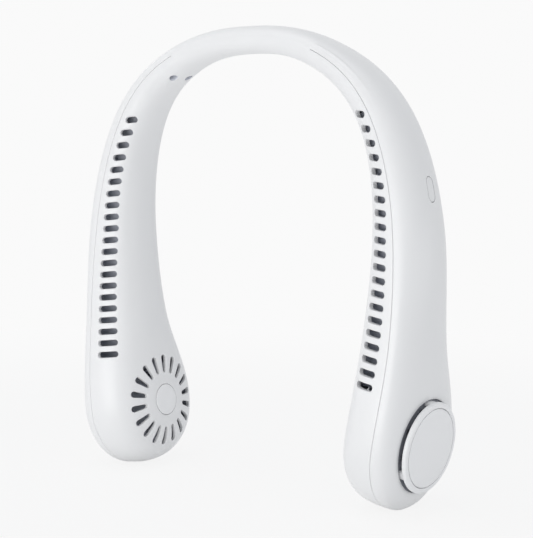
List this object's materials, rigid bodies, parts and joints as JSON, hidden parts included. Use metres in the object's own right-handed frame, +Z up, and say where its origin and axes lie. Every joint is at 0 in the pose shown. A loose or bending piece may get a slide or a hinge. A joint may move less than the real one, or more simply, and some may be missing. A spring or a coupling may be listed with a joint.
{
  "type": "neck fan",
  "caption": "U-shaped electric neck fan: two hollow white arms with air slots, a blower with grille and inlet cap in each round end, and a soft band between them.",
  "frame": {"origin": "middle of the band's inner face, where it rests on the back of the neck", "axes": "+X across to the arm with the power button, -Y to the front edges with the air slots, +Z up from the arms' ends to the band"},
  "size_m": [0.1828, 0.059, 0.2055],
  "materials": {
    "shell_white": "white ABS, fine satin texture",
    "cap_white": "white ABS, satin",
    "button_white": "white ABS, satin",
    "soft_white": "white soft-touch silicone",
    "duct_slate": "dark slate ABS",
    "wheel_slate": "dark slate nylon",
    "motor_copper": "enamelled copper coils on steel",
    "motor_steel": "turned steel",
    "spring_steel": "rolled steel",
    "screw_steel": "dark zinc-plated steel",
    "bearing_bronze": "sintered bronze",
    "magnet_dark": "bonded ferrite",
    "cable_black": "black insulation",
    "cell_foil": "laminated foil pouch",
    "board_green": "solder-masked glass epoxy"
  },
  "bodies": {
    "band": {"neckband_sleeve": "soft_white", "spring_strip": "spring_steel", "band_ribbon": "cable_black"},
    "left_arm": {"left_inner_shell": "shell_white", "left_outer_shell": "shell_white", "left_inlet_cap": "cap_white", "left_hub_disc": "cap_white", "left_duct_divider": "duct_slate", "left_scroll": "duct_slate", "left_stator": "motor_copper", "left_motor_base": "duct_slate", "left_bearings": "bearing_bronze", "left_cell": "cell_foil", "left_screws": "screw_steel", "charge_board": "board_green", "usb_socket": "spring_steel"},
    "right_arm": {"right_inner_shell": "shell_white", "right_outer_shell": "shell_white", "right_inlet_cap": "cap_white", "right_hub_disc": "cap_white", "right_duct_divider": "duct_slate", "right_scroll": "duct_slate", "right_stator": "motor_copper", "right_motor_base": "duct_slate", "right_bearings": "bearing_bronze", "right_cell": "cell_foil", "right_screws": "screw_steel", "main_board": "board_green", "tact_switch": "cable_black"},
    "left_wheel": {"left_impeller": "wheel_slate", "left_rotor_cup": "motor_steel", "left_magnet_ring": "magnet_dark", "left_shaft": "motor_steel"},
    "right_wheel": {"right_impeller": "wheel_slate", "right_rotor_cup": "motor_steel", "right_magnet_ring": "magnet_dark", "right_shaft": "motor_steel"},
    "button": {"power_button": "button_white"}
  },
  "joints": [
    {"name": "left_flex", "type": "hinge", "parent": "band", "child": "left_arm", "pos_m": [-0.03778, 0, -0.00036], "axis": [0, 1, 0], "range_deg": [-3, 12], "stiffness_Nm_per_rad": 1.5, "deforming": ["neckband_sleeve", "spring_strip", "band_ribbon"]},
    {"name": "right_flex", "type": "hinge", "parent": "band", "child": "right_arm", "pos_m": [0.03778, 0, -0.00036], "axis": [0, -1, 0], "range_deg": [-3, 12], "stiffness_Nm_per_rad": 1.5, "deforming": ["neckband_sleeve", "spring_strip", "band_ribbon"]},
    {"name": "left_spin", "type": "hinge", "parent": "left_arm", "child": "left_wheel", "pos_m": [-0.07666, 0.0115, -0.16427], "axis": [-0.99, 0, -0.1411], "continuous": true},
    {"name": "right_spin", "type": "hinge", "parent": "right_arm", "child": "right_wheel", "pos_m": [0.07666, 0.0115, -0.16427], "axis": [0.99, 0, -0.1411], "continuous": true},
    {"name": "button_press", "type": "slide", "parent": "right_arm", "child": "button", "axis": [-0.9815, 0, -0.1914], "range_m": [0, 0.0004], "stiffness_N_per_m": 800}
  ]
}
